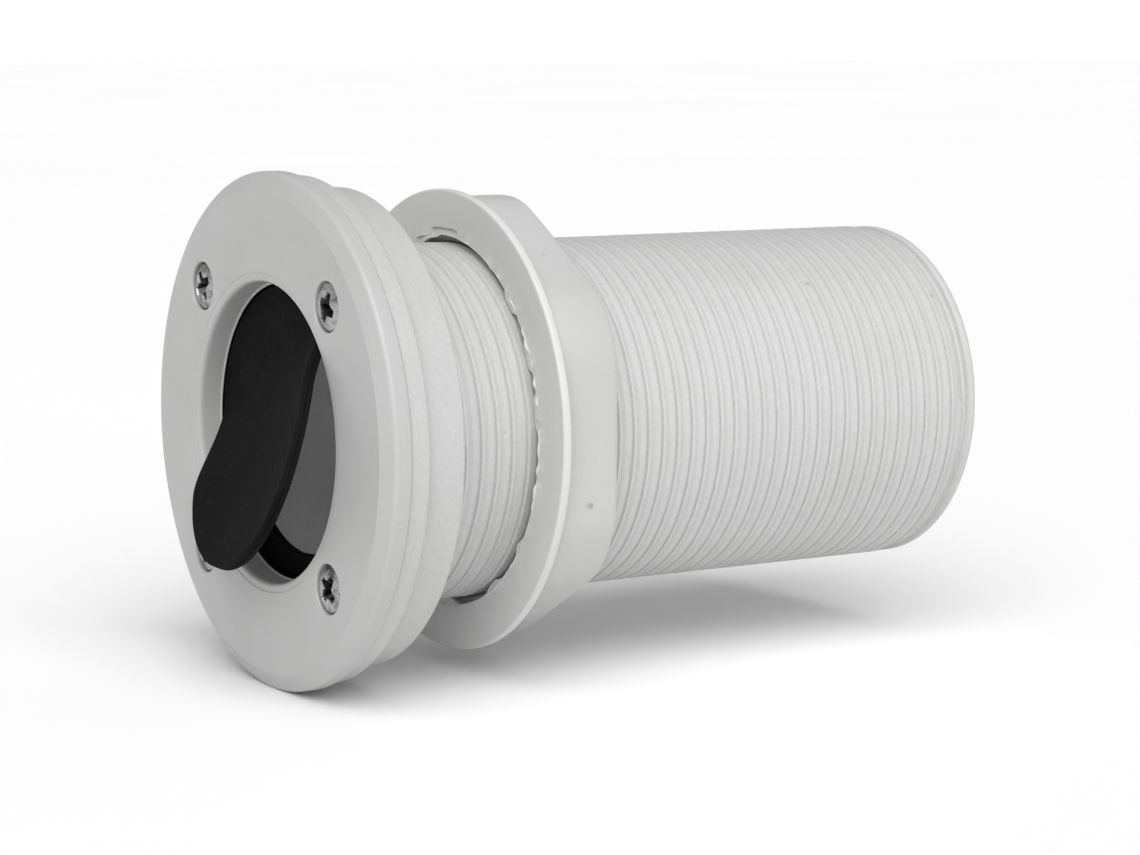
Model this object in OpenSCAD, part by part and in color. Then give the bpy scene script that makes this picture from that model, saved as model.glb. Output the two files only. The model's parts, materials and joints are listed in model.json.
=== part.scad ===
// Thru hull fitting: a flanged, threaded shank with a rubber check flap behind a
// screwed cover ring, and a washer and hexagon nut that clamp it to the hull.
// The shank runs along +Y. The origin is the centre of the flange face that seals
// on the hull. The front of the fitting faces -Y, and +Z runs midway between two screws.

/* [Shank] */
// Outside radius of the thread, a 1 1/2 inch parallel pipe thread
thread_radius = 23.9; // [23.4:0.1:24.4]
// Distance from one thread ridge to the next
thread_pitch = 2.309; // [2.1:0.001:2.6]
// Height of a thread ridge over the groove beside it
thread_depth = 0.6; // [0.3:0.05:1.2]
// Radius of the water way
bore_radius = 18.8; // [17.5:0.1:19.5]
// Length of the shank behind the flange
shank_length = 88; // [80:1:110]
// Height of the bevel on the tail end
tail_bevel = 1.2; // [0.8:0.1:2]

/* [Flange] */
// Outside radius of the part of the flange that meets the hull
flange_radius = 31.6; // [30:0.1:32.5]
// Thickness of the part of the flange that meets the hull
flange_depth = 6.0; // [5:0.1:8]
// Outside radius of the stepped rim in front of it
rim_radius = 33.3; // [32.8:0.1:33.8]
// Thickness of the stepped rim
rim_depth = 2.7; // [2.7:0.1:3.5]

/* [Cover ring] */
// Outside radius of the cover ring
cover_radius = 33.9; // [33.8:0.1:35]
// Radius of the flat front face of the cover ring
cover_face_radius = 31.6; // [30.5:0.1:32.5]
// Thickness of the cover ring
cover_depth = 3.5; // [3:0.1:4.5]
// Radius of the opening in the cover ring
cover_bore_radius = 19.8; // [19.4:0.1:20.2]
// Size of the eased edge of that opening
cover_lip = 0.6; // [0.3:0.1:1]

/* [Valve] */
// Outside radius of the rubber seat ring
seat_radius = 22; // [21:0.1:22.4]
// Inside radius of the seat ring's sealing lip
seat_lip_radius = 16.3; // [15.5:0.1:17]
// Thickness of the sealing lip
seat_lip_depth = 1.1; // [0.8:0.1:1.1]
// Radius of the rubber flap
flap_radius = 19; // [18.4:0.1:19]
// Thickness of the flap
flap_depth = 1.45; // [1.2:0.05:1.45]
// Height of the line that the flap bends on over the axis of the bore
hinge_height = 10; // [9:0.1:12]
// Turn of that line about the axis, from +Z towards -X
hinge_turn = 30; // [0:0.5:90]
// How far the flap stands open
flap_open = 22; // [0:1:40]

/* [Screws] */
// Radius of the circle that the screws sit on
screw_circle_radius = 25.2; // [24.8:0.1:26]
// Angle from +X to the first screw
screw_start = 45; // [0:0.5:89.5]
// Radius of a screw head
screw_head_radius = 3.1; // [2.8:0.1:3.3]
// Radius of a screw shank
screw_shank_radius = 1.6; // [1.4:0.1:1.8]
// Length of a screw, head included
screw_length = 9.5; // [8:0.5:11]

/* [Washer and nut] */
// Outside radius of the backing washer
washer_radius = 31; // [30:0.1:32]
// Radius of the hole in the washer
washer_hole_radius = 24.9; // [24.6:0.1:25.5]
// Thickness of the washer
washer_depth = 1.25; // [1:0.05:2]
// Distance from the hull face of the flange to the washer
washer_place = 14.6; // [14:0.1:60]
// Distance from the nut's axis to a flat of the hexagon
nut_flat_distance = 27.9; // [27:0.1:29]
// Radius that the hexagon's corners are rounded to
nut_corner_radius = 30; // [29.5:0.1:31]
// Thickness of the nut
nut_depth = 9; // [8:0.1:12]
// Angle from +X to the first corner of the nut
nut_corner_angle = 30; // [0:1:59]

/* [Hidden] */
$fn = 96;
white_plastic = [0.86, 0.86, 0.85];
black_rubber = [0.09, 0.09, 0.09];
stainless = [0.62, 0.62, 0.61];
overcut = 1;

// Places along the axis, measured from the hull face of the flange
rim_front = -flange_depth - rim_depth;
cover_front = rim_front - cover_depth;

// Edges of the cover ring and the flange
face_bevel = 0.9;
side_ease = 0.2;
joint_ease = 0.3;
hull_edge_ease = 0.4;

// The plain collar behind the flange, the thread, and the plain ring at the tail
root_radius = thread_radius - thread_depth;
neck_radius = thread_radius + 0.1;
neck_length = 1.9;
thread_start = neck_length + 0.5;
crest_width = 0.5 * thread_pitch;
flank_width = 0.2 * thread_pitch;
tail_ring_radius = thread_radius - 0.1;
tail_ring_length = 2.1;
tail_ring_step = 0.2;
tail_bevel_length = 0.9;
tail_ring_start = shank_length - tail_ring_length;
ridge_count = floor((tail_ring_start - thread_start) / thread_pitch);

// The valve's stack: flap in its pocket, with the sealing lip behind it. Above its hinge
// line the rubber sheet is clamped, and that part is one solid with the seat ring.
valve_gap = 0.075;
flap_middle = rim_front + valve_gap + flap_depth / 2;
pocket_depth = rim_depth - seat_lip_depth;
pocket_radius = flap_radius + 0.5;
clamped_back = rim_front + pocket_depth + 0.3;
knuckle_radius = flap_depth / 2;
knuckle_length = 26;
socket_length = knuckle_length + 0.8;
hinge_relief = 0.9;

// Screw details
screw_angles = [for (k = [0 : 3]) screw_start + 90 * k];
head_sink = 0.15;
head_depth = screw_head_radius - screw_shank_radius;
tip_length = 1.2;
tip_radius = 0.3;
cross_length = 3.4;
cross_width = 0.75;
cross_depth = 1.3;
cover_hole_radius = screw_shank_radius + 0.2;

// The washer and the nut, which runs on the crests of the thread
washer_edge = 0.2;
nut_bore_radius = thread_radius + 0.08;
nut_front = washer_place + washer_depth + 0.05;
nut_front_edge = 0.5;
nut_back_edge = 1;

// Turns an outline of [radius, distance behind the hull face] about the shank's axis
module turned(outline) {
    rotate([-90, 0, 0])
        rotate_extrude()
            polygon(outline);
}

// A cylinder along +Y from one place on the axis to another
module axial(radius, from, to) {
    translate([0, from, 0])
        rotate([-90, 0, 0])
            cylinder(r = radius, h = to - from);
}

// Moves its children out along the screw circle to one angle from +X towards +Z
module on_screw_circle(angle) {
    rotate([0, -angle, 0])
        translate([screw_circle_radius, 0, 0])
            children();
}

// The half of a round plate below one height, from one place on the axis to another
module plate_below(radius, height, from, to) {
    intersection() {
        axial(radius, from, to);
        translate([-radius, from - overcut, -2 * radius])
            cube([2 * radius, to - from + 2 * overcut, 2 * radius + height]);
    }
}

// Radius at the four corners of one thread ridge, from its front foot to its back foot
function ridge(start) = [
    [root_radius, start],
    [thread_radius, start + flank_width],
    [thread_radius, start + flank_width + crest_width],
    [root_radius, start + 2 * flank_width + crest_width]
];

module hull_body() {
    ridges = [for (k = [0 : ridge_count - 1]) each ridge(thread_start + k * thread_pitch)];
    outline = concat(
        [
            [bore_radius, rim_front],
            [rim_radius, rim_front],
            [rim_radius, -flange_depth],
            [flange_radius, -flange_depth],
            [flange_radius, -hull_edge_ease],
            [flange_radius - hull_edge_ease, 0],
            [neck_radius, 0],
            [neck_radius, neck_length]
        ],
        ridges,
        [
            [root_radius, tail_ring_start],
            [tail_ring_radius, tail_ring_start + tail_ring_step],
            [tail_ring_radius, shank_length - tail_bevel_length],
            [thread_radius - tail_bevel, shank_length],
            [bore_radius, shank_length]
        ]
    );
    color(white_plastic)
        difference() {
            turned(outline);
            axial(seat_radius, rim_front - overcut, -flange_depth);
            for (angle = screw_angles)
                on_screw_circle(angle)
                    axial(screw_shank_radius, rim_front - overcut, cover_front + screw_length);
        }
}

module cover_ring() {
    color(white_plastic)
        difference() {
            turned([
                [cover_bore_radius + cover_lip, cover_front],
                [cover_face_radius, cover_front],
                [cover_radius - side_ease, cover_front + face_bevel],
                [cover_radius, cover_front + face_bevel + side_ease],
                [cover_radius, rim_front - joint_ease],
                [cover_radius - joint_ease, rim_front],
                [cover_bore_radius, rim_front],
                [cover_bore_radius, cover_front + cover_lip]
            ]);
            for (angle = screw_angles)
                on_screw_circle(angle) {
                    axial(cover_hole_radius, cover_front - overcut, rim_front + overcut);
                    head_cone();
                    axial(screw_head_radius, cover_front - overcut, cover_front + head_sink);
                }
        }
}

// The countersunk cone of a screw head
module head_cone() {
    translate([0, cover_front + head_sink, 0])
        rotate([-90, 0, 0])
            cylinder(r1 = screw_head_radius, r2 = screw_shank_radius, h = head_depth);
}

module valve_seat() {
    lip_front = rim_front + pocket_depth;
    color(black_rubber)
        rotate([0, -hinge_turn, 0])
            difference() {
                axial(seat_radius, rim_front, -flange_depth);
                axial(seat_lip_radius, clamped_back, overcut);
                plate_below(seat_lip_radius, hinge_height, lip_front - overcut, overcut);
                plate_below(pocket_radius, hinge_height, rim_front - overcut, lip_front);
                plate_below(pocket_radius, hinge_height + hinge_relief, rim_front - overcut, flap_middle);
                translate([-socket_length / 2, flap_middle, hinge_height])
                    rotate([0, 90, 0])
                        cylinder(r = knuckle_radius + valve_gap, h = socket_length);
            }
}

module flap() {
    flap_front = flap_middle - flap_depth / 2;
    color(black_rubber)
        rotate([0, -hinge_turn, 0])
            translate([0, flap_middle, hinge_height])
                rotate([-flap_open, 0, 0])
                    translate([0, -flap_middle, -hinge_height]) {
                        plate_below(flap_radius, hinge_height, flap_front, flap_front + flap_depth);
                        translate([-knuckle_length / 2, flap_middle, hinge_height])
                            rotate([0, 90, 0])
                                cylinder(r = knuckle_radius, h = knuckle_length);
                    }
}

// One countersunk screw with a cross recess, seated in the cover ring
module screw(index) {
    seat = cover_front + head_sink;
    tip_start = cover_front + screw_length - tip_length;
    color(stainless)
        on_screw_circle(screw_angles[index])
            difference() {
                union() {
                    head_cone();
                    axial(screw_shank_radius, seat + head_depth, tip_start);
                    translate([0, tip_start, 0])
                        rotate([-90, 0, 0])
                            cylinder(r1 = screw_shank_radius, r2 = tip_radius, h = tip_length);
                }
                for (turn = [0, 90])
                    rotate([0, turn, 0])
                        translate([-cross_length / 2, seat - overcut, -cross_width / 2])
                            cube([cross_length, cross_depth + overcut, cross_width]);
            }
}

module backing_washer() {
    washer_back = washer_place + washer_depth;
    color(white_plastic)
        turned([
            [washer_hole_radius, washer_place],
            [washer_radius - washer_edge, washer_place],
            [washer_radius, washer_place + washer_edge],
            [washer_radius, washer_back - washer_edge],
            [washer_radius - washer_edge, washer_back],
            [washer_hole_radius, washer_back]
        ]);
}

module hex_nut() {
    nut_back = nut_front + nut_depth;
    color(white_plastic)
        difference() {
            intersection() {
                translate([0, nut_front, 0])
                    rotate([-90, 0, 0])
                        rotate(-nut_corner_angle)
                            cylinder(r = nut_flat_distance / cos(30), h = nut_depth, $fn = 6);
                turned([
                    [0, nut_front],
                    [nut_corner_radius - nut_front_edge, nut_front],
                    [nut_corner_radius, nut_front + nut_front_edge],
                    [nut_corner_radius, nut_back - nut_back_edge],
                    [nut_corner_radius - nut_back_edge, nut_back],
                    [0, nut_back]
                ]);
            }
            axial(nut_bore_radius, nut_front - overcut, nut_back + overcut);
        }
}

hull_body();
cover_ring();
valve_seat();
flap();
screw(0);  // screw_1
screw(1);  // screw_2
screw(2);  // screw_3
screw(3);  // screw_4
backing_washer();
hex_nut();
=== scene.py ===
"""The looks of a thru hull fitting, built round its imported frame. Meshes are worked out in millimetres."""
import json
import math

import bmesh
import bpy
from mathutils import Matrix, Vector, noise
from mathutils.geometry import tessellate_polygon


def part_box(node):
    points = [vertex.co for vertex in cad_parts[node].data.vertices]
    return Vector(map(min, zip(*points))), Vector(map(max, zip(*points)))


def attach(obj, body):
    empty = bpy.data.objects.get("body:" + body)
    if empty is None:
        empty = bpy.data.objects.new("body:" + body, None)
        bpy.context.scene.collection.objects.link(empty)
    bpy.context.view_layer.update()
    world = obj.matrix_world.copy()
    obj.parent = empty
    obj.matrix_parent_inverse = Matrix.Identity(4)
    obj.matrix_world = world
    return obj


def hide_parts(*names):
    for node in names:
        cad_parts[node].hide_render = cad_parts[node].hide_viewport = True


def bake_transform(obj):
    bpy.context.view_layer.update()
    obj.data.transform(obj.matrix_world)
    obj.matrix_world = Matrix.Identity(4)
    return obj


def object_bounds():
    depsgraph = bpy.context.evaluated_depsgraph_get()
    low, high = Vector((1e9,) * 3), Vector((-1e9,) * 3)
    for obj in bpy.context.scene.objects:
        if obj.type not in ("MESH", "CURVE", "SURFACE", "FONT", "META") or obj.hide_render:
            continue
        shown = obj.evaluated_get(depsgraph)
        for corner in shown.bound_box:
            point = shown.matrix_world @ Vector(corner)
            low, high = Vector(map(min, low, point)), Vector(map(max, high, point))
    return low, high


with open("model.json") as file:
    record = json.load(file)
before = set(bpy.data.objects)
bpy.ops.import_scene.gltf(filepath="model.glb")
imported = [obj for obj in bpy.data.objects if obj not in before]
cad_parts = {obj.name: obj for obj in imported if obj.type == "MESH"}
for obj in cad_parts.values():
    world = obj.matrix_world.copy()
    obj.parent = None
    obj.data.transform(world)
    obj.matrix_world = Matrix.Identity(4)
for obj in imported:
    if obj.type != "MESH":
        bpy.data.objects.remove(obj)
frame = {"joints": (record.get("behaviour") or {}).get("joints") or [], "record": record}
cad_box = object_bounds()

MM = 0.001
COLUMNS = 192
SHARP_ANGLE = math.radians(32)


def box_mm(node):
    """Lowest and highest corner of a CAD node, in millimetres."""
    low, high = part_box(node)
    return low / MM, high / MM


# ---------------------------------------------------------------- places from the frame
body_low, body_high = box_mm("hull_body")
cover_low, cover_high = box_mm("cover_ring")
seat_high = box_mm("valve_seat")[1]
washer_low, washer_high = box_mm("backing_washer")
nut_low, nut_high = box_mm("hex_nut")
mounts = {m["name"]: m for m in frame["record"]["mounts"]}
joints = {j["name"]: j for j in frame["joints"]}

BORE = mounts["water_way"]["dims"]["r_mm"]
TAIL = body_high.y
JOINT_FACE = body_low.y
RIM_RADIUS = body_high.x
COVER_FRONT = cover_low.y
COVER_RADIUS = cover_high.x
SEAT_RADIUS = seat_high.x - 0.03
SEAT_BACK = seat_high.y
HINGE = Vector(joints["flap_swing"]["pos_m"]) / MM
HINGE_HEIGHT = math.hypot(HINGE.x, HINGE.z)

# ---------------------------------------------------------------- sizes the frame doesn't state
THREAD_PITCH = 2.309
THREAD_DEPTH = 0.6
CREST = 23.9
ROOT = CREST - THREAD_DEPTH
COLLAR = CREST + 0.1
FLANGE_RADIUS = 31.6
RIM_BACK = -6.0
COLLAR_BACK = 1.8
THREAD_FLOOR_FROM = 2.1
THREAD_FLOOR_TO = 85.8
TAIL_RADIUS = CREST - 0.1
TAIL_FACE = 22.6
COVER_BORE = 19.6
COVER_FACE = 31.6
LIP_RADIUS = 16.3
LIP_FRONT = -7.1
POCKET_RADIUS = 19.5
FLAP_RADIUS = 19.1
FLAP_DEPTH = 1.45
SCREW_HEAD = 3.05
SCREW_SHANK = 1.55
SCREW_CORE = SCREW_SHANK - 0.3
SCREW_HOLE = 1.65
HOLE_FLOOR = -2.2
SCREW_PITCH = 1.0
SCREW_THREAD_FROM = 2.65
SCREW_THREAD_TURNS = 4
SCREW_TURNS = (24, 62, 15, 38)
WASHER_HOLE = 24.9
FLASH_REACH = 0.86
NUT_SHARPNESS = 70
NUT_GAP = 0.1


# ---------------------------------------------------------------- mesh tools
def blend_step(t):
    """0 below 0, 1 above 1, and smooth between them."""
    t = min(1.0, max(0.0, t))
    return t * t * (3 - 2 * t)


def rough(*place):
    """Smooth noise from -1 to 1 at a place."""
    return noise.noise(Vector(place))


def softened(outline, steps=4):
    """An open outline of (radius, y, ease) with each eased corner turned into a curve, as (radius, y)."""
    curve = []
    last = len(outline) - 1
    for k, (radius, y, ease) in enumerate(outline):
        here = Vector((radius, y))
        if k in (0, last) or ease == 0:
            curve.append((radius, y))
            continue
        before = Vector(outline[k - 1][:2]) - here
        after = Vector(outline[k + 1][:2]) - here
        one = here + before.normalized() * min(ease, before.length * 0.49)
        other = here + after.normalized() * min(ease, after.length * 0.49)
        for s in range(steps + 1):
            t = s / steps
            point = one * (1 - t) ** 2 + here * 2 * t * (1 - t) + other * t ** 2
            curve.append((point.x, point.y))
    return curve


class Mould:
    """Collects points in millimetres and faces, then makes one mesh piece of them."""

    def __init__(self):
        self.points = []
        self.faces = []

    def add(self, points):
        first = len(self.points)
        self.points.extend(points)
        return list(range(first, len(self.points)))

    def ring(self, place, count=COLUMNS, centre=(0, 0)):
        """A loop round an axis along Y. place(angle) gives its radius and y."""
        points = []
        for k in range(count):
            angle = -2 * math.pi * k / count
            radius, y = place(angle)
            points.append((centre[0] + radius * math.cos(angle), y, centre[1] + radius * math.sin(angle)))
        return self.add(points)

    def circle(self, radius, y, count=COLUMNS, centre=(0, 0)):
        return self.ring(lambda angle: (radius, y), count, centre)

    def band(self, one, other):
        """Faces between two loops of the same length."""
        for k in range(len(one)):
            after = (k + 1) % len(one)
            self.faces.append((one[k], one[after], other[after], other[k]))

    def bands(self, loops):
        for one, other in zip(loops, loops[1:]):
            self.band(one, other)

    def lathe(self, outline, count=COLUMNS, centre=(0, 0)):
        """Loops along an outline of (radius, y), joined by faces."""
        loops = [self.circle(radius, y, count, centre) for radius, y in outline]
        self.bands(loops)
        return loops

    def fill(self, *loops):
        """Faces over the flat space inside the first loop and outside the others."""
        flat = [i for loop in loops for i in loop]
        for corners in tessellate_polygon([[Vector(self.points[i]) for i in loop] for loop in loops]):
            self.faces.append(tuple(flat[i] for i in corners))

    def thread(self, low, high, first, pitch, turns, radius_at, shape):
        """A helical ribbon between two loops. radius_at(height, turn) gives its radius."""
        count = len(low)
        rows = []
        for row in range(turns * len(shape) + 1):
            along, height = shape[row % len(shape)]
            points = []
            for k in range(count):
                turn = row // len(shape) + along + k / count
                angle = -2 * math.pi * k / count
                radius = radius_at(height, turn)
                points.append((radius * math.cos(angle), first + pitch * turn, radius * math.sin(angle)))
            rows.append(self.add(points))
        self.join_rows(rows, low, high, len(shape))

    def join_rows(self, rows, low, high, step):
        """Faces of a ribbon whose last column meets its first column one turn, or step rows, further on."""
        end = len(low) - 1
        top = len(rows) - 1
        for one, other in zip(rows, rows[1:]):
            for k in range(end):
                self.faces.append((one[k], one[k + 1], other[k + 1], other[k]))
        for row in range(top - step):
            self.faces.append(
                (rows[row][end], rows[row + step][0], rows[row + step + 1][0], rows[row + 1][end])
            )
        for k in range(end):
            self.faces.append((low[k], low[k + 1], rows[0][k + 1], rows[0][k]))
            self.faces.append((rows[top][k], rows[top][k + 1], high[k + 1], high[k]))
        seam_low = [rows[row][0] for row in range(step + 1)]
        self.faces.append((low[end], low[0], *seam_low, rows[0][end]))
        seam_high = [rows[row][end] for row in range(top - step, top + 1)]
        self.faces.append((rows[top][0], *seam_high, high[end], high[0]))

    def mesh(self, name):
        mesh = bpy.data.meshes.new(name)
        mesh.from_pydata([Vector(p) * MM for p in self.points], [], self.faces)
        tidy(mesh)
        return mesh


def tidy(mesh):
    """Faces outward, smooth shading, and sharp edges where the surface turns sharply."""
    work = bmesh.new()
    work.from_mesh(mesh)
    bmesh.ops.recalc_face_normals(work, faces=work.faces)
    for face in work.faces:
        face.smooth = True
    for edge in work.edges:
        edge.smooth = len(edge.link_faces) == 2 and edge.calc_face_angle() < SHARP_ANGLE
    work.to_mesh(mesh)
    work.free()


def piece(name, mesh, materials, body, nodes):
    """Shows a mesh as a piece that rides on a CAD body and stands for CAD nodes."""
    shown = bpy.data.objects.new(name, mesh)
    bpy.context.scene.collection.objects.link(shown)
    for material in materials:
        mesh.materials.append(material)
    if body:
        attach(shown, body)
    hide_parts(*nodes)
    return shown


# ---------------------------------------------------------------- materials
# Where a mix node keeps its share and its colours
MIX_SHARE, MIX_ONE, MIX_OTHER, MIX_RESULT = 0, 6, 7, 2


class Nodes:
    """Short names for the shader nodes that the materials share."""

    def __init__(self, material):
        self.material = material
        self.tree = material.node_tree
        self.shader = self.tree.nodes["Principled BSDF"]
        self.place = self.tree.nodes.new("ShaderNodeTexCoord").outputs["Object"]

    @classmethod
    def named(cls, name):
        """Short names over a new material."""
        material = bpy.data.materials.new(name)
        material.use_nodes = True
        return cls(material)

    def feed(self, socket, value):
        """Puts a value into a socket, or links another socket to it."""
        if isinstance(value, bpy.types.NodeSocket):
            self.tree.links.new(value, socket)
        else:
            socket.default_value = value

    def calculate(self, operation, *values):
        """A sum on numbers or sockets, by the name of a math node's operation."""
        made = self.tree.nodes.new("ShaderNodeMath")
        made.operation = operation
        for socket, value in zip(made.inputs, values):
            self.feed(socket, value)
        return made.outputs[0]

    def node(self, kind, values=(), **inputs):
        made = self.tree.nodes.new(kind)
        for key, value in values:
            setattr(made, key, value)
        for key, value in inputs.items():
            self.feed(made.inputs[key.replace("_", " ")], value)
        return made

    def noise(self, scale, detail=3.0, roughness=0.5, stretch=(1, 1, 1)):
        spread = self.node("ShaderNodeMapping", Vector=self.place, Scale=stretch).outputs["Vector"]
        return self.node(
            "ShaderNodeTexNoise", Vector=spread, Scale=scale, Detail=detail, Roughness=roughness
        ).outputs["Fac"]

    def ramp(self, fac, *stops):
        """A ramp through (place, tone) stops. A tone is one grey or a colour."""
        made = self.node("ShaderNodeValToRGB", Fac=fac)
        elements = made.color_ramp.elements
        while len(elements) < len(stops):
            elements.new(0.5)
        for element, (place, tone) in zip(elements, stops):
            element.position = place
            colour = tone if isinstance(tone, tuple) else (tone, tone, tone)
            element.color = (*colour, 1)
        return made.outputs["Color"]

    def mix(self, fac, one, other, kind="MIX"):
        made = self.node("ShaderNodeMix", [("data_type", "RGBA"), ("blend_type", kind)])
        self.feed(made.inputs[MIX_SHARE], fac)
        for index, value in ((MIX_ONE, one), (MIX_OTHER, other)):
            self.feed(made.inputs[index], (value, value, value, 1) if isinstance(value, float) else value)
        return made.outputs[MIX_RESULT]

    def remap(self, value, low, high, from_low=0.0, from_high=1.0):
        return self.node(
            "ShaderNodeMapRange", Value=value, From_Min=from_low, From_Max=from_high, To_Min=low, To_Max=high
        ).outputs["Result"]

    def bump(self, height, distance, strength=1.0, below=None):
        made = self.node("ShaderNodeBump", Height=height, Distance=distance, Strength=strength)
        if below is not None:
            self.tree.links.new(below, made.inputs["Normal"])
        return made.outputs["Normal"]

    def set(self, **sockets):
        for key, value in sockets.items():
            self.feed(self.shader.inputs[key.replace("_", " ")], value)
        return self.material


def white_plastic(name, grain, streak, shine, grey):
    """Moulded white plastic: faint clouding, dust specks, and a grain that runs round the shank."""
    nodes = Nodes.named(name)
    cloud = nodes.noise(55, 3, 0.55)
    tone = nodes.ramp(cloud, (0.3, (grey * 0.965, grey * 0.965, grey * 0.955)), (0.7, (grey * 1.02,) * 3))
    fine = nodes.noise(1900, 4, 0.65)
    grained = nodes.mix(0.5 * grain, tone, nodes.ramp(fine, (0.32, 0.72), (0.68, 1.0)), "MULTIPLY")
    speck = nodes.ramp(nodes.noise(420, 1, 0.3), (0.18, 0.35), (0.215, 1.0))
    colour = nodes.mix(0.5, grained, speck, "MULTIPLY")
    streaks = nodes.noise(260, 4, 0.7, (1, 9, 1))
    relief = nodes.bump(streaks, 0.00012, streak)
    relief = nodes.bump(fine, 0.00005, grain, relief)
    gloss = nodes.remap(nodes.noise(160, 3), shine - 0.07, shine + 0.1, 0.3, 0.7)
    return nodes.set(Base_Color=colour, Roughness=gloss, Normal=relief, IOR=1.49)


# How pale the thread is painted along one pitch, as (share of the pitch, tone): two pale lines of painted
# highlight on the raised edges, painted shade in a dull dip, and the darkest painted shade at the groove
PAINTED_THREAD_LIGHT = [
    (0.0, 0.7), (0.04, 1.0), (0.10, 0.5), (0.20, 0.28), (0.30, 0.2), (0.38, 0.33), (0.45, 0.58),
    (0.55, 0.62), (0.68, 0.6), (0.78, 0.35), (0.90, 0.05), (0.95, 0.3), (1.0, 0.7),
]


def painted_thread_light(material, first, pitch, widest, bore):
    """Painted highlight as pale lines along a helical thread's raised edges with painted shade between them,
    and a paler wall inside the bore, painted light that lifts the bore's shade.
    """
    nodes = Nodes(material)
    parts = nodes.node("ShaderNodeSeparateXYZ", Vector=nodes.place).outputs
    squares = nodes.calculate("MULTIPLY", parts["Z"], parts["Z"])
    squares = nodes.calculate("MULTIPLY_ADD", parts["X"], parts["X"], squares)
    in_bore = nodes.calculate("LESS_THAN", squares, (bore * MM) ** 2)
    in_thread = nodes.calculate("LESS_THAN", squares, (widest * MM) ** 2)
    on_thread = nodes.calculate("SUBTRACT", in_thread, in_bore)
    turned = nodes.calculate("ARCTAN2", parts["Z"], parts["X"])
    turns = nodes.calculate("MULTIPLY_ADD", turned, 0.5 / math.pi, -first / pitch)
    turns = nodes.calculate("MULTIPLY_ADD", parts["Y"], 1 / (pitch * MM), turns)
    share = nodes.calculate("FRACT", turns)
    # Pale stops are painted highlight where the thread's raised edges would catch light; dark stops are
    # painted shade in the dip and the groove. Noise breaks the lines up at random.
    line = nodes.ramp(share, *PAINTED_THREAD_LIGHT)
    painted_light_lines = nodes.mix(nodes.noise(500, 3, 0.7), line, 0.4)
    base = nodes.shader.inputs["Base Color"].links[0].from_socket
    share_painted_light = nodes.calculate("MULTIPLY", on_thread, 0.6)
    colour = nodes.mix(share_painted_light, base, nodes.ramp(painted_light_lines, (0.0, 0.68), (1.0, 1.62)), "MULTIPLY")
    # The bore wall gets a flat pale 0.85, painted light that lifts the shade inside the tube.
    nodes.set(Base_Color=nodes.mix(in_bore, colour, 0.85))
    return material


def black_rubber(name, dust):
    """Sheet rubber, dull and dusty, with a cloth-like grain."""
    nodes = Nodes.named(name)
    cloud = nodes.noise(130, 4, 0.6)
    fine = nodes.noise(2600, 3, 0.7)
    base = nodes.ramp(cloud, (0.35, 0.004 + 0.4 * dust), (0.7, 0.006 + dust))
    motes = nodes.ramp(nodes.noise(1300, 2, 0.6), (0.62, 0.0), (0.76, 5 * dust))
    colour = nodes.mix(0.6, base, motes, "ADD")
    relief = nodes.bump(fine, 0.00006, 0.6)
    relief = nodes.bump(nodes.noise(500, 3), 0.0001, 0.35, relief)
    dull = nodes.remap(cloud, 0.7, 0.9)
    return nodes.set(Base_Color=colour, Roughness=dull, Normal=relief, Specular_IOR_Level=0.05)


def stainless(name, tone, shine):
    """Bright steel with fine scratches and a little dirt."""
    nodes = Nodes.named(name)
    scratches = nodes.noise(900, 4, 0.7, (1, 1, 6))
    grime = nodes.noise(700, 3, 0.6)
    colour = nodes.ramp(grime, (0.38, tone * 0.3), (0.58, tone))
    relief = nodes.bump(scratches, 0.00006, 0.8)
    relief = nodes.bump(grime, 0.0001, 0.5, relief)
    gloss = nodes.remap(scratches, shine - 0.08, shine + 0.15)
    return nodes.set(Base_Color=colour, Metallic=1.0, Roughness=gloss, Normal=relief)


def studio_floor():
    """Plain pale paper."""
    nodes = Nodes.named("floor_paper")
    tone = nodes.ramp(nodes.noise(3, 2), (0.3, 0.93), (0.7, 0.95))
    return nodes.set(Base_Color=tone, Roughness=0.9, Specular_IOR_Level=0.1)


# ---------------------------------------------------------------- the threaded body
# One pitch of the thread, as (share of the pitch, share of the depth): a broad crest and a narrow groove
THREAD_SHAPE = [
    (0.00, 0.97), (0.04, 1.00), (0.09, 0.93), (0.34, 0.90), (0.39, 0.90), (0.43, 0.95),
    (0.47, 0.90), (0.70, 0.90), (0.80, 0.91), (0.85, 0.84), (0.89, 0.44), (0.94, 0.58),
]
THREAD_FIRST = 2.25
THREAD_LAST = 85.6
THREAD_TURNS = math.floor((THREAD_LAST - THREAD_FIRST) / THREAD_PITCH) - 1
RUN_OUT = 0.7


def screw_places():
    """Centres of the cover screws as (x, z) in millimetres."""
    places = []
    for k in range(1, 5):
        low, high = box_mm(f"screw_{k}")
        places.append(((low.x + high.x) / 2, (low.z + high.z) / 2))
    return places


def ridge_radius(height, turn):
    """The shank's radius along its thread, which runs in and out over part of a turn at each end."""
    fade = blend_step(turn / RUN_OUT) * blend_step((THREAD_TURNS + 1 - turn) / RUN_OUT)
    wear = 0.02 * rough(turn * 3.1, height * 2.0, 0.3)
    return ROOT + THREAD_DEPTH * fade * min(1.0, height + wear)


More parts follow.
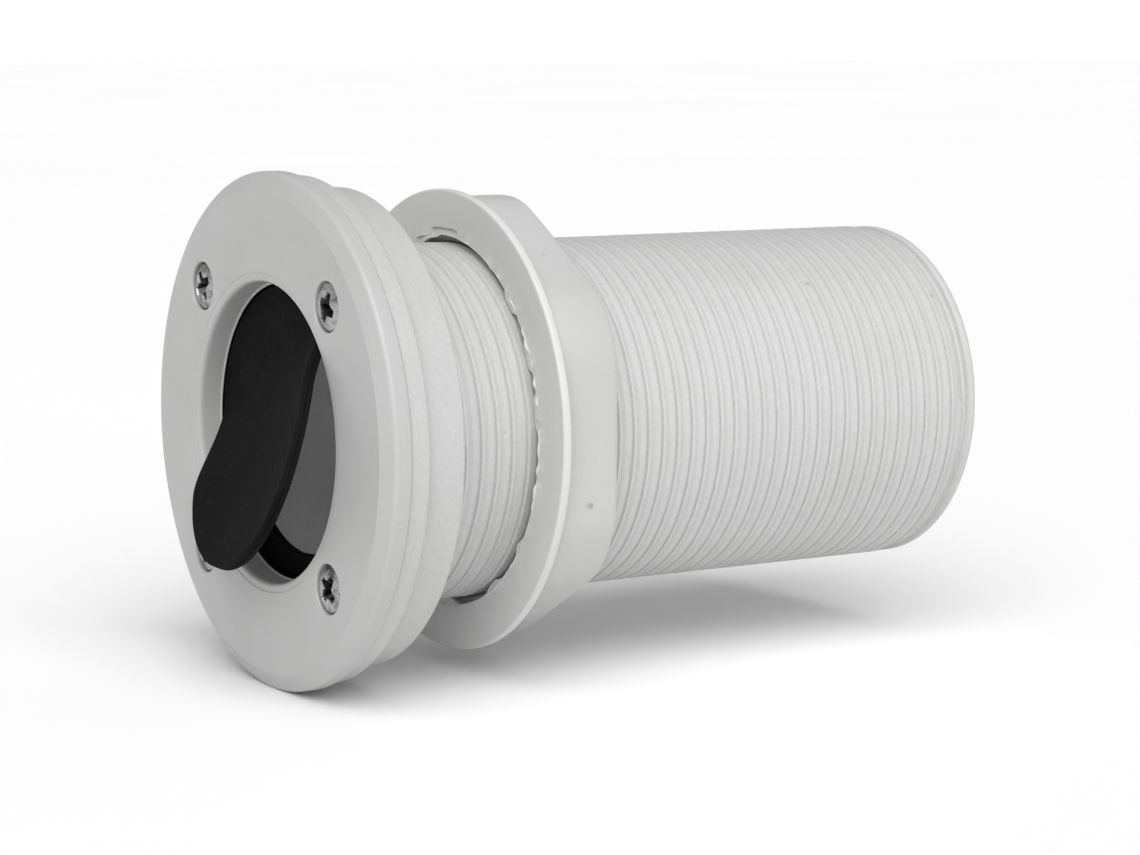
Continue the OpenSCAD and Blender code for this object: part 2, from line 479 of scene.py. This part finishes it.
def hull_body_mesh():
    """The flange, its rubber pocket, the threaded shank and the blind screw holes."""
    mould = Mould()
    front = softened([
        (RIM_RADIUS - 0.25, JOINT_FACE, 0), (RIM_RADIUS, JOINT_FACE, 0.25), (RIM_RADIUS, RIM_BACK, 0.3),
        (FLANGE_RADIUS, RIM_BACK, 0.25), (FLANGE_RADIUS, 0, 0.5), (COLLAR, 0, 0.3),
        (COLLAR, COLLAR_BACK, 0.2), (ROOT, THREAD_FLOOR_FROM, 0),
    ])
    tail = softened([
        (ROOT, THREAD_FLOOR_TO, 0), (TAIL_RADIUS, THREAD_FLOOR_TO + 0.2, 0.2),
        (TAIL_RADIUS, TAIL - 0.8, 0.6), (TAIL_FACE, TAIL, 0.3),
        (BORE + 0.3, TAIL, 0.3), (BORE, TAIL - 0.5, 0.2), (BORE, SEAT_BACK, 0),
        (SEAT_RADIUS + 0.05, SEAT_BACK, 0),
        (SEAT_RADIUS + 0.05, JOINT_FACE, 0),
    ])
    front_loops = mould.lathe(front)
    tail_loops = mould.lathe(tail)
    mould.thread(
        front_loops[-1], tail_loops[0], THREAD_FIRST, THREAD_PITCH, THREAD_TURNS, ridge_radius, THREAD_SHAPE
    )
    holes = []
    for centre in screw_places():
        hole = [(SCREW_HOLE, JOINT_FACE), (SCREW_HOLE, HOLE_FLOOR - 0.4), (0.3, HOLE_FLOOR)]
        loops = mould.lathe(hole, 24, centre)
        mould.fill(loops[-1])
        holes.append(loops[0])
    mould.fill(front_loops[0], tail_loops[-1], *holes)
    return mould.mesh("hull_body_shown")


# ---------------------------------------------------------------- the cover ring and its screws
def cover_ring_mesh():
    """The bevelled ring in front of the flange, with a countersunk well for each screw."""
    mould = Mould()
    side = softened([
        (COVER_FACE - 0.3, COVER_FRONT, 0), (COVER_FACE, COVER_FRONT, 0.06),
        (COVER_RADIUS - 0.25, COVER_FRONT + 0.95, 0.25), (COVER_RADIUS, COVER_FRONT + 1.3, 0.2),
        (COVER_RADIUS, JOINT_FACE - 0.3, 0.15), (COVER_RADIUS - 0.35, JOINT_FACE, 0),
    ])
    bore = softened([
        (COVER_BORE - 0.22, JOINT_FACE, 0), (COVER_BORE - 0.22, JOINT_FACE - 0.12, 0.05),
        (COVER_BORE, JOINT_FACE - 0.2, 0.05), (COVER_BORE, COVER_FRONT + 0.1, 1.0),
        (COVER_BORE + 1.2, COVER_FRONT + 0.1, 0.1), (COVER_BORE + 1.3, COVER_FRONT, 0),
    ], 6)
    side_loops = mould.lathe(side)
    bore_loops = mould.lathe(bore)
    front_holes, back_holes = [], []
    for centre in screw_places():
        well = softened([
            (SCREW_HEAD + 0.3, COVER_FRONT, 0), (SCREW_HEAD + 0.2, COVER_FRONT + 0.12, 0.08),
            (SCREW_HEAD + 0.16, COVER_FRONT + 0.7, 0.1), (SCREW_SHANK + 0.3, COVER_FRONT + 2.1, 0),
            (SCREW_SHANK + 0.3, JOINT_FACE, 0),
        ])
        loops = mould.lathe(well, 40, centre)
        front_holes.append(loops[0])
        back_holes.append(loops[-1])
    mould.fill(side_loops[0], bore_loops[-1], *front_holes)
    mould.fill(side_loops[-1], bore_loops[0], *back_holes)
    return mould.mesh("cover_ring_shown")


# One pitch of the screws' thread, as (share of the pitch, share of the depth)
SCREW_THREAD = [(0.0, 0.0), (0.3, 0.0), (0.45, 1.0), (0.55, 1.0), (0.7, 0.0)]


def screw_blank():
    """A countersunk screw along +Y with its head at y 0, before its recess is cut."""
    mould = Mould()
    head = softened([
        (0.4, -0.30, 0), (1.9, -0.22, 0.5), (SCREW_HEAD, 0.10, 0.12), (SCREW_HEAD - 0.05, 0.28, 0.08),
        (SCREW_CORE, 1.80, 0.2), (SCREW_CORE, 2.6, 0),
    ])
    tip = [(SCREW_CORE, 7.8), (0.9, 8.6), (0.2, 9.2)]
    head_loops = mould.lathe(head, 48)
    tip_loops = mould.lathe(tip, 48)

    def flank(height, turn):
        return SCREW_CORE + 0.3 * height * blend_step(turn) * blend_step((SCREW_THREAD_TURNS + 1 - turn) / 0.8)

    mould.thread(
        head_loops[-1], tip_loops[0], SCREW_THREAD_FROM, SCREW_PITCH, SCREW_THREAD_TURNS, flank, SCREW_THREAD
    )
    mould.fill(head_loops[0])
    mould.fill(tip_loops[-1])
    return mould.mesh("screw_blank")


def cross_cutter():
    """The cross of a driver bit, tapered towards its tip."""
    mould = Mould()
    # (y, half length and half width of the arms) from above the mouth to the tip
    levels = [(-1.0, 2.3, 0.62), (0.0, 1.95, 0.46), (1.5, 0.62, 0.26), (1.75, 0.3, 0.2)]
    loops = []
    for y, long, wide in levels:
        corners = []
        for quarter in range(4):
            turn = Matrix.Rotation(math.pi / 2 * quarter, 2)
            for corner in ((long, -wide), (long, wide), (wide * 1.6, wide * 1.6)):
                point = turn @ Vector(corner)
                corners.append((point.x, y, point.y))
        loops.append(mould.add(corners))
    mould.bands(loops)
    mould.fill(loops[0])
    mould.fill(loops[-1])
    return mould.mesh("cross_cutter")


def screw_mesh():
    """The blank with its cross cut out. The recess takes the second material, a dark steel that paints shade
    into the recess.
    """
    blank = bpy.data.objects.new("screw_blank", screw_blank())
    cutter = bpy.data.objects.new("cross_cutter", cross_cutter())
    for made in (blank, cutter):
        bpy.context.scene.collection.objects.link(made)
    cut = blank.modifiers.new("cross", "BOOLEAN")
    cut.object = cutter
    cut.operation = "DIFFERENCE"
    cut.solver = "EXACT"
    bpy.context.view_layer.update()
    made = bpy.data.meshes.new_from_object(blank.evaluated_get(bpy.context.evaluated_depsgraph_get()))
    for spent in (blank, cutter):
        bpy.data.objects.remove(spent)
    # Faces of the cross recess take the second material, whose dark tone is painted shade.
    for polygon in made.polygons:
        middle = polygon.center / MM
        near_cross = math.hypot(middle.x, middle.z) < 1.9 and -0.15 < middle.y < 2.2
        polygon.material_index = int(near_cross and (abs(polygon.normal.y) < 0.97 or middle.y > 1.2))
    tidy(made)
    return made


# ---------------------------------------------------------------- the check valve
def valve_seat_mesh():
    """The rubber ring between the cover and the body, with its sealing lip."""
    mould = Mould()
    front = JOINT_FACE + 0.02
    outline = softened([
        (SEAT_RADIUS - 0.2, SEAT_BACK, 0), (SEAT_RADIUS, SEAT_BACK, 0.1), (SEAT_RADIUS, front, 0.1),
        (POCKET_RADIUS, front, 0.2), (POCKET_RADIUS, LIP_FRONT, 0.15), (LIP_RADIUS, LIP_FRONT, 0.3),
        (LIP_RADIUS, SEAT_BACK - 0.02, 0.15), (LIP_RADIUS + 0.4, SEAT_BACK - 0.02, 0),
    ])
    loops = mould.lathe(outline)
    mould.band(loops[-1], loops[0])
    return mould.mesh("valve_seat_shown")


BEND_TOP = 1.0
BEND_LENGTH = 2.6
SHEET_ANGLE = math.radians(17.6)
SHEET_CURL = 0.0059
SHEET_CUP = 0.0068
SHEET_STEP = 0.1


def sheet_angle(below):
    """How far the open sheet leans out at a distance below the line it bends on."""
    return (SHEET_ANGLE + SHEET_CURL * max(0.0, below)) * blend_step((below + BEND_TOP) / BEND_LENGTH)


def sheet_path():
    """The sheet's middle line in steps down from the top of its bend, as (out, down)."""
    path = [(0.0, -BEND_TOP)]
    for k in range(math.ceil((HINGE_HEIGHT + FLAP_RADIUS + BEND_TOP) / SHEET_STEP)):
        angle = sheet_angle((k + 0.5) * SHEET_STEP - BEND_TOP)
        out, down = path[-1]
        path.append((out + SHEET_STEP * math.sin(angle), down + SHEET_STEP * math.cos(angle)))
    return path


SHEET_PATH = sheet_path()


def flap_point(across, height, depth):
    """Where a point of the flat sheet goes once it hangs open. depth runs from the middle to the back."""
    below = HINGE_HEIGHT - height
    place = (below + BEND_TOP) / SHEET_STEP
    if place <= 0:
        out, down = 0.0, below
    else:
        step = min(int(place), len(SHEET_PATH) - 2)
        (out, down), (out_after, down_after) = SHEET_PATH[step:step + 2]
        out += (out_after - out) * (place - step)
        down += (down_after - down) * (place - step)
    out += SHEET_CUP * across ** 2 * blend_step(below / 12)
    angle = sheet_angle(below)
    y = HINGE.y - out + depth * math.cos(angle)
    up = HINGE_HEIGHT - down - depth * math.sin(angle)
    outward = Vector((HINGE.x, 0, HINGE.z)).normalized()
    sideways = Vector((outward.z, 0, -outward.x))
    return sideways * across + outward * up + Vector((0, y, 0))


def flap_mesh():
    """The rubber sheet: two plies with a fine line between them along the edge."""
    mould = Mould()
    half = FLAP_DEPTH / 2
    edge = [
        (0.30, -half), (0.12, -half + 0.03), (0.02, -half + 0.13), (0.0, -0.22), (0.0, -0.08), (0.10, -0.02),
        (0.10, 0.04), (0.0, 0.10), (0.0, 0.30), (0.02, half - 0.13), (0.12, half - 0.03), (0.30, half),
    ]
    spokes = 36
    flat = []
    for k in range(1, spokes):
        flat.append(((FLAP_RADIUS - edge[0][0]) * k / spokes, -half))
    for inset, depth in edge:
        flat.append((FLAP_RADIUS - inset, depth))
    for k in range(spokes - 1, 0, -1):
        flat.append(((FLAP_RADIUS - edge[0][0]) * k / spokes, half))
    count = 144
    loops = []
    for radius, depth in flat:
        points = []
        for k in range(count):
            angle = 2 * math.pi * k / count
            points.append(flap_point(radius * math.cos(angle), radius * math.sin(angle), depth))
        loops.append(mould.add(points))
    mould.bands(loops)
    for loop, depth in ((loops[0], -half), (loops[-1], half)):
        hub = mould.add([flap_point(0, 0, depth)])[0]
        for k in range(count):
            mould.faces.append((loop[k], loop[(k + 1) % count], hub))
    return mould.mesh("flap_shown")


# ---------------------------------------------------------------- the washer and the nut
# Arcs where the flash in the washer's hole has broken away, as (middle, half width) in degrees from +X to +Z
OPEN_ARCS = [
    (78, 15), (53, 4), (35, 4), (17, 3), (-6, 7), (-24, 8), (-45, 6), (-70, 9),
    (118, 7), (146, 9), (178, 6), (214, 10), (247, 6),
]


def flash(angle):
    """How far moulding flash closes the gap round the shank at an angle: 0 is open and 1 closed."""
    closed = 1.05 + 0.5 * rough(9 * math.cos(angle), 9 * math.sin(angle), 1.7)
    for middle, half_width in OPEN_ARCS:
        away = (math.degrees(angle) - middle + 180) % 360 - 180
        closed -= 1.3 * blend_step(1.7 - abs(away) / half_width)
    return min(1.0, max(0.0, closed))


TAB_FROM, TAB_TO = math.radians(80), math.radians(97)
TAB_EASE = 0.02
TAB_DEPTH = 0.9


def tab(angle):
    """How far the square notch at the top of the washer's hole reaches outward at an angle: 0 or 1."""
    angle %= 2 * math.pi
    return blend_step((angle - TAB_FROM) / TAB_EASE) * blend_step((TAB_TO - angle) / TAB_EASE)


def washer_mesh():
    """The flat washer, whose hole is edged with torn flash and has one square notch."""
    mould = Mould()
    front, back = washer_low.y, washer_high.y
    outer = washer_high.x
    hole = WASHER_HOLE
    count = 720
    rim = softened([
        (hole + 2.6, front, 0), (outer, front, 0.4), (outer, back, 0.4), (hole + 1.0, back, 0),
        (hole, back, 0),
    ])

    def film(depth, inset):
        """A loop of the flash at one depth behind the front face. inset thins it there."""
        def place(angle):
            ragged = 0.15 * abs(rough(40 * math.cos(angle), 40 * math.sin(angle), depth))
            radius = hole - (FLASH_REACH - inset) * flash(angle) + ragged * flash(angle)
            return radius, front + depth + 0.1 * tab(angle)
        return mould.ring(place, count)

    def burr(radius, height):
        """A loop of the front face, which stands up a little where flash has torn."""
        def place(angle):
            torn = max(0.0, rough(16 * math.cos(angle), 16 * math.sin(angle), 4.2) + 0.15)
            ragged = 0.1 * rough(30 * math.cos(angle), 30 * math.sin(angle), 7.7)
            return radius + ragged + TAB_DEPTH * tab(angle), front - height * torn * (1 - tab(angle))
        return mould.ring(place, count)

    rim_loops = mould.lathe(rim, count)
    inner = [film(0.95, 0.35), film(0.6, 0.1), film(0.3, 0.0), film(-0.05, 0.06)]

    def ledge(angle):
        """The step that the flash springs from, which widens to the notch."""
        return hole + 0.1 + (TAB_DEPTH - 0.1) * tab(angle), front + 0.35 * tab(angle)

    face = [mould.ring(ledge, count), burr(hole + 0.12, 0.5), burr(hole + 0.3, 0.1)]
    face.append(mould.circle(hole + 1.8, front, count))
    mould.bands([rim_loops[-1], *inner, *face, rim_loops[0]])
    return mould.mesh("backing_washer_shown")


def nut_mesh():
    """The hexagon nut, with rounded edges and a thread inside."""
    mould = Mould()
    front, back = nut_low.y, nut_high.y
    flat_distance = nut_high.x
    corner = nut_high.z

    def hexagon(angle):
        """The rounded hexagon's radius at an angle."""
        away = (math.degrees(angle) + 30) % 60 - 30
        side = flat_distance / math.cos(math.radians(away))
        return (side ** -NUT_SHARPNESS + corner ** -NUT_SHARPNESS) ** (-1 / NUT_SHARPNESS)

    def side_loop(inset, y):
        return mould.ring(lambda angle: (hexagon(angle) - inset, y), 360)

    edge = [
        (0.55, front), (0.28, front + 0.04), (0.08, front + 0.2), (0.0, front + 0.5), (0.0, back - 0.9),
        (0.05, back - 0.6), (0.25, back - 0.22), (0.6, back - 0.04), (1.0, back),
    ]
    loops = [side_loop(inset, y) for inset, y in edge]
    mould.bands(loops)
    mouth = CREST + NUT_GAP
    start = THREAD_FIRST + THREAD_PITCH * math.ceil((front + 0.5 - THREAD_FIRST) / THREAD_PITCH)
    turns = math.floor((back - 0.5 - start) / THREAD_PITCH) - 1

    def groove(height, turn):
        fade = blend_step(turn / 0.5) * blend_step((turns + 1 - turn) / 0.5)
        return mouth - THREAD_DEPTH * (1 - height) * fade

    low = mould.lathe([(mouth + 0.6, front), (mouth, front + 0.35)], 360)
    high = mould.lathe([(mouth, back - 0.35), (mouth + 0.6, back)], 360)
    mould.thread(low[-1], high[0], start, THREAD_PITCH, turns, groove, THREAD_SHAPE)
    mould.band(loops[0], low[0])
    mould.band(high[-1], loops[-1])
    return mould.mesh("hex_nut_shown")


# ---------------------------------------------------------------- the pieces
def build_pieces():
    body_white = white_plastic("body_white", grain=0.6, streak=0.6, shine=0.42, grey=0.5)
    painted_thread_light(body_white, THREAD_FIRST, THREAD_PITCH, COLLAR + 0.5, BORE + 0.3)
    cover_white = white_plastic("cover_white", grain=0.25, streak=0.12, shine=0.38, grey=0.45)
    nut_white = white_plastic("nut_white", grain=0.22, streak=0.12, shine=0.36, grey=0.49)
    # The washer's grey sits above the other parts' as painted light, offsetting the shade the flange casts on
    # it.
    washer_white_lightened = white_plastic("washer_white_lightened", grain=0.22, streak=0.1, shine=0.42, grey=0.61)
    seat_rubber = black_rubber("seat_rubber", dust=0.001)
    flap_rubber = black_rubber("flap_rubber", dust=0.004)
    steel = stainless("screw_steel", tone=0.42, shine=0.22)
    # The recess steel's low tone is painted shade inside the screws' cross recess.
    recess = stainless("recess_shade_steel", tone=0.09, shine=0.3)

    piece("threaded_body", hull_body_mesh(), [body_white], "fitting", ["hull_body"])
    piece("cover_plate", cover_ring_mesh(), [cover_white], "fitting", ["cover_ring"])
    piece("seat_rubber_ring", valve_seat_mesh(), [seat_rubber], "fitting", ["valve_seat"])
    sheet = piece("flap_sheet", flap_mesh(), [flap_rubber], None, ["flap"])
    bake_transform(sheet)
    piece("washer_plate", washer_mesh(), [washer_white_lightened], "washer", ["backing_washer"])
    piece("hexagon_nut", nut_mesh(), [nut_white], "nut", ["hex_nut"])
    screw = screw_mesh()
    for k, ((x, z), turn) in enumerate(zip(screw_places(), SCREW_TURNS), 1):
        mesh = screw.copy()
        place = Matrix.Translation(Vector((x, COVER_FRONT + 0.2, z)) * MM)
        mesh.transform(place @ Matrix.Rotation(math.radians(turn), 4, "Y"))
        piece(f"cover_screw_{k}", mesh, [steel, recess], "fitting", [f"screw_{k}"])


# ---------------------------------------------------------------- floor, light and camera
def look_from(holder, place, target, roll=0.0):
    """Puts a camera or a light at a place, looking at a target."""
    aim = (Vector(target) - Vector(place)).to_track_quat("-Z", "Y").to_matrix().to_4x4()
    holder.matrix_world = Matrix.Translation(place) @ aim @ Matrix.Rotation(roll, 4, "Z")


FLOOR_REACH = 6.0


def add_floor():
    ground = bpy.data.meshes.new("floor")
    low = cad_box[0].z
    corners = [(x * FLOOR_REACH, y * FLOOR_REACH, low) for x, y in ((-1, -1), (1, -1), (1, 1), (-1, 1))]
    ground.from_pydata(corners, [], [(0, 1, 2, 3)])
    floor = bpy.data.objects.new("floor", ground)
    bpy.context.scene.collection.objects.link(floor)
    ground.materials.append(studio_floor())


# Strength of the surround at the horizon and overhead, and the heights of the sky between which it dims
HORIZON = 1.02
ZENITH = 0.38
DIM_FROM, DIM_TO = 0.05, 0.2
SUN_FROM = (0.8, -0.35, 0.9)
SUN_STRENGTH = 2.95
SUN_SOFTNESS = math.radians(65)


def add_lights():
    """A white surround that dims overhead, and one soft lamp above and to the right."""
    world = bpy.data.worlds.new("studio")
    world.use_nodes = True
    tree = world.node_tree
    direction = tree.nodes.new("ShaderNodeTexCoord").outputs["Generated"]
    parts = tree.nodes.new("ShaderNodeSeparateXYZ")
    dim = tree.nodes.new("ShaderNodeMapRange")
    dim.inputs["From Min"].default_value = DIM_FROM
    dim.inputs["From Max"].default_value = DIM_TO
    dim.inputs["To Min"].default_value = HORIZON
    dim.inputs["To Max"].default_value = ZENITH
    tree.links.new(direction, parts.inputs[0])
    tree.links.new(parts.outputs["Z"], dim.inputs["Value"])
    tree.links.new(dim.outputs["Result"], tree.nodes["Background"].inputs["Strength"])
    tree.nodes["Background"].inputs["Color"].default_value = (1, 1, 1, 1)
    bpy.context.scene.world = world
    lamp = bpy.data.lights.new("overhead", "SUN")
    lamp.energy = SUN_STRENGTH
    lamp.angle = SUN_SOFTNESS
    holder = bpy.data.objects.new("overhead", lamp)
    bpy.context.scene.collection.objects.link(holder)
    look_from(holder, SUN_FROM, (0, 0, 0))


CAMERA_AZIMUTH = 57.87
CAMERA_ELEVATION = 7.50
CAMERA_ROLL = 0.26
CAMERA_DISTANCE = 421.3
CAMERA_TARGET = (0, 34.9, -2.4)
CAMERA_LENS = 96.3


def add_camera():
    azimuth, elevation = math.radians(CAMERA_AZIMUTH), math.radians(CAMERA_ELEVATION)
    level = math.cos(elevation)
    back = Vector((math.sin(azimuth) * level, -math.cos(azimuth) * level, math.sin(elevation)))
    target = Vector(CAMERA_TARGET) * MM
    lens = bpy.data.cameras.new("camera")
    lens.lens = CAMERA_LENS
    lens.clip_start = 0.01
    camera = bpy.data.objects.new("camera", lens)
    bpy.context.scene.collection.objects.link(camera)
    look_from(camera, target + back * CAMERA_DISTANCE * MM, target, math.radians(CAMERA_ROLL))
    bpy.context.scene.camera = camera
    bpy.context.scene.view_settings.view_transform = "Standard"


build_pieces()
add_floor()
add_lights()
add_camera()
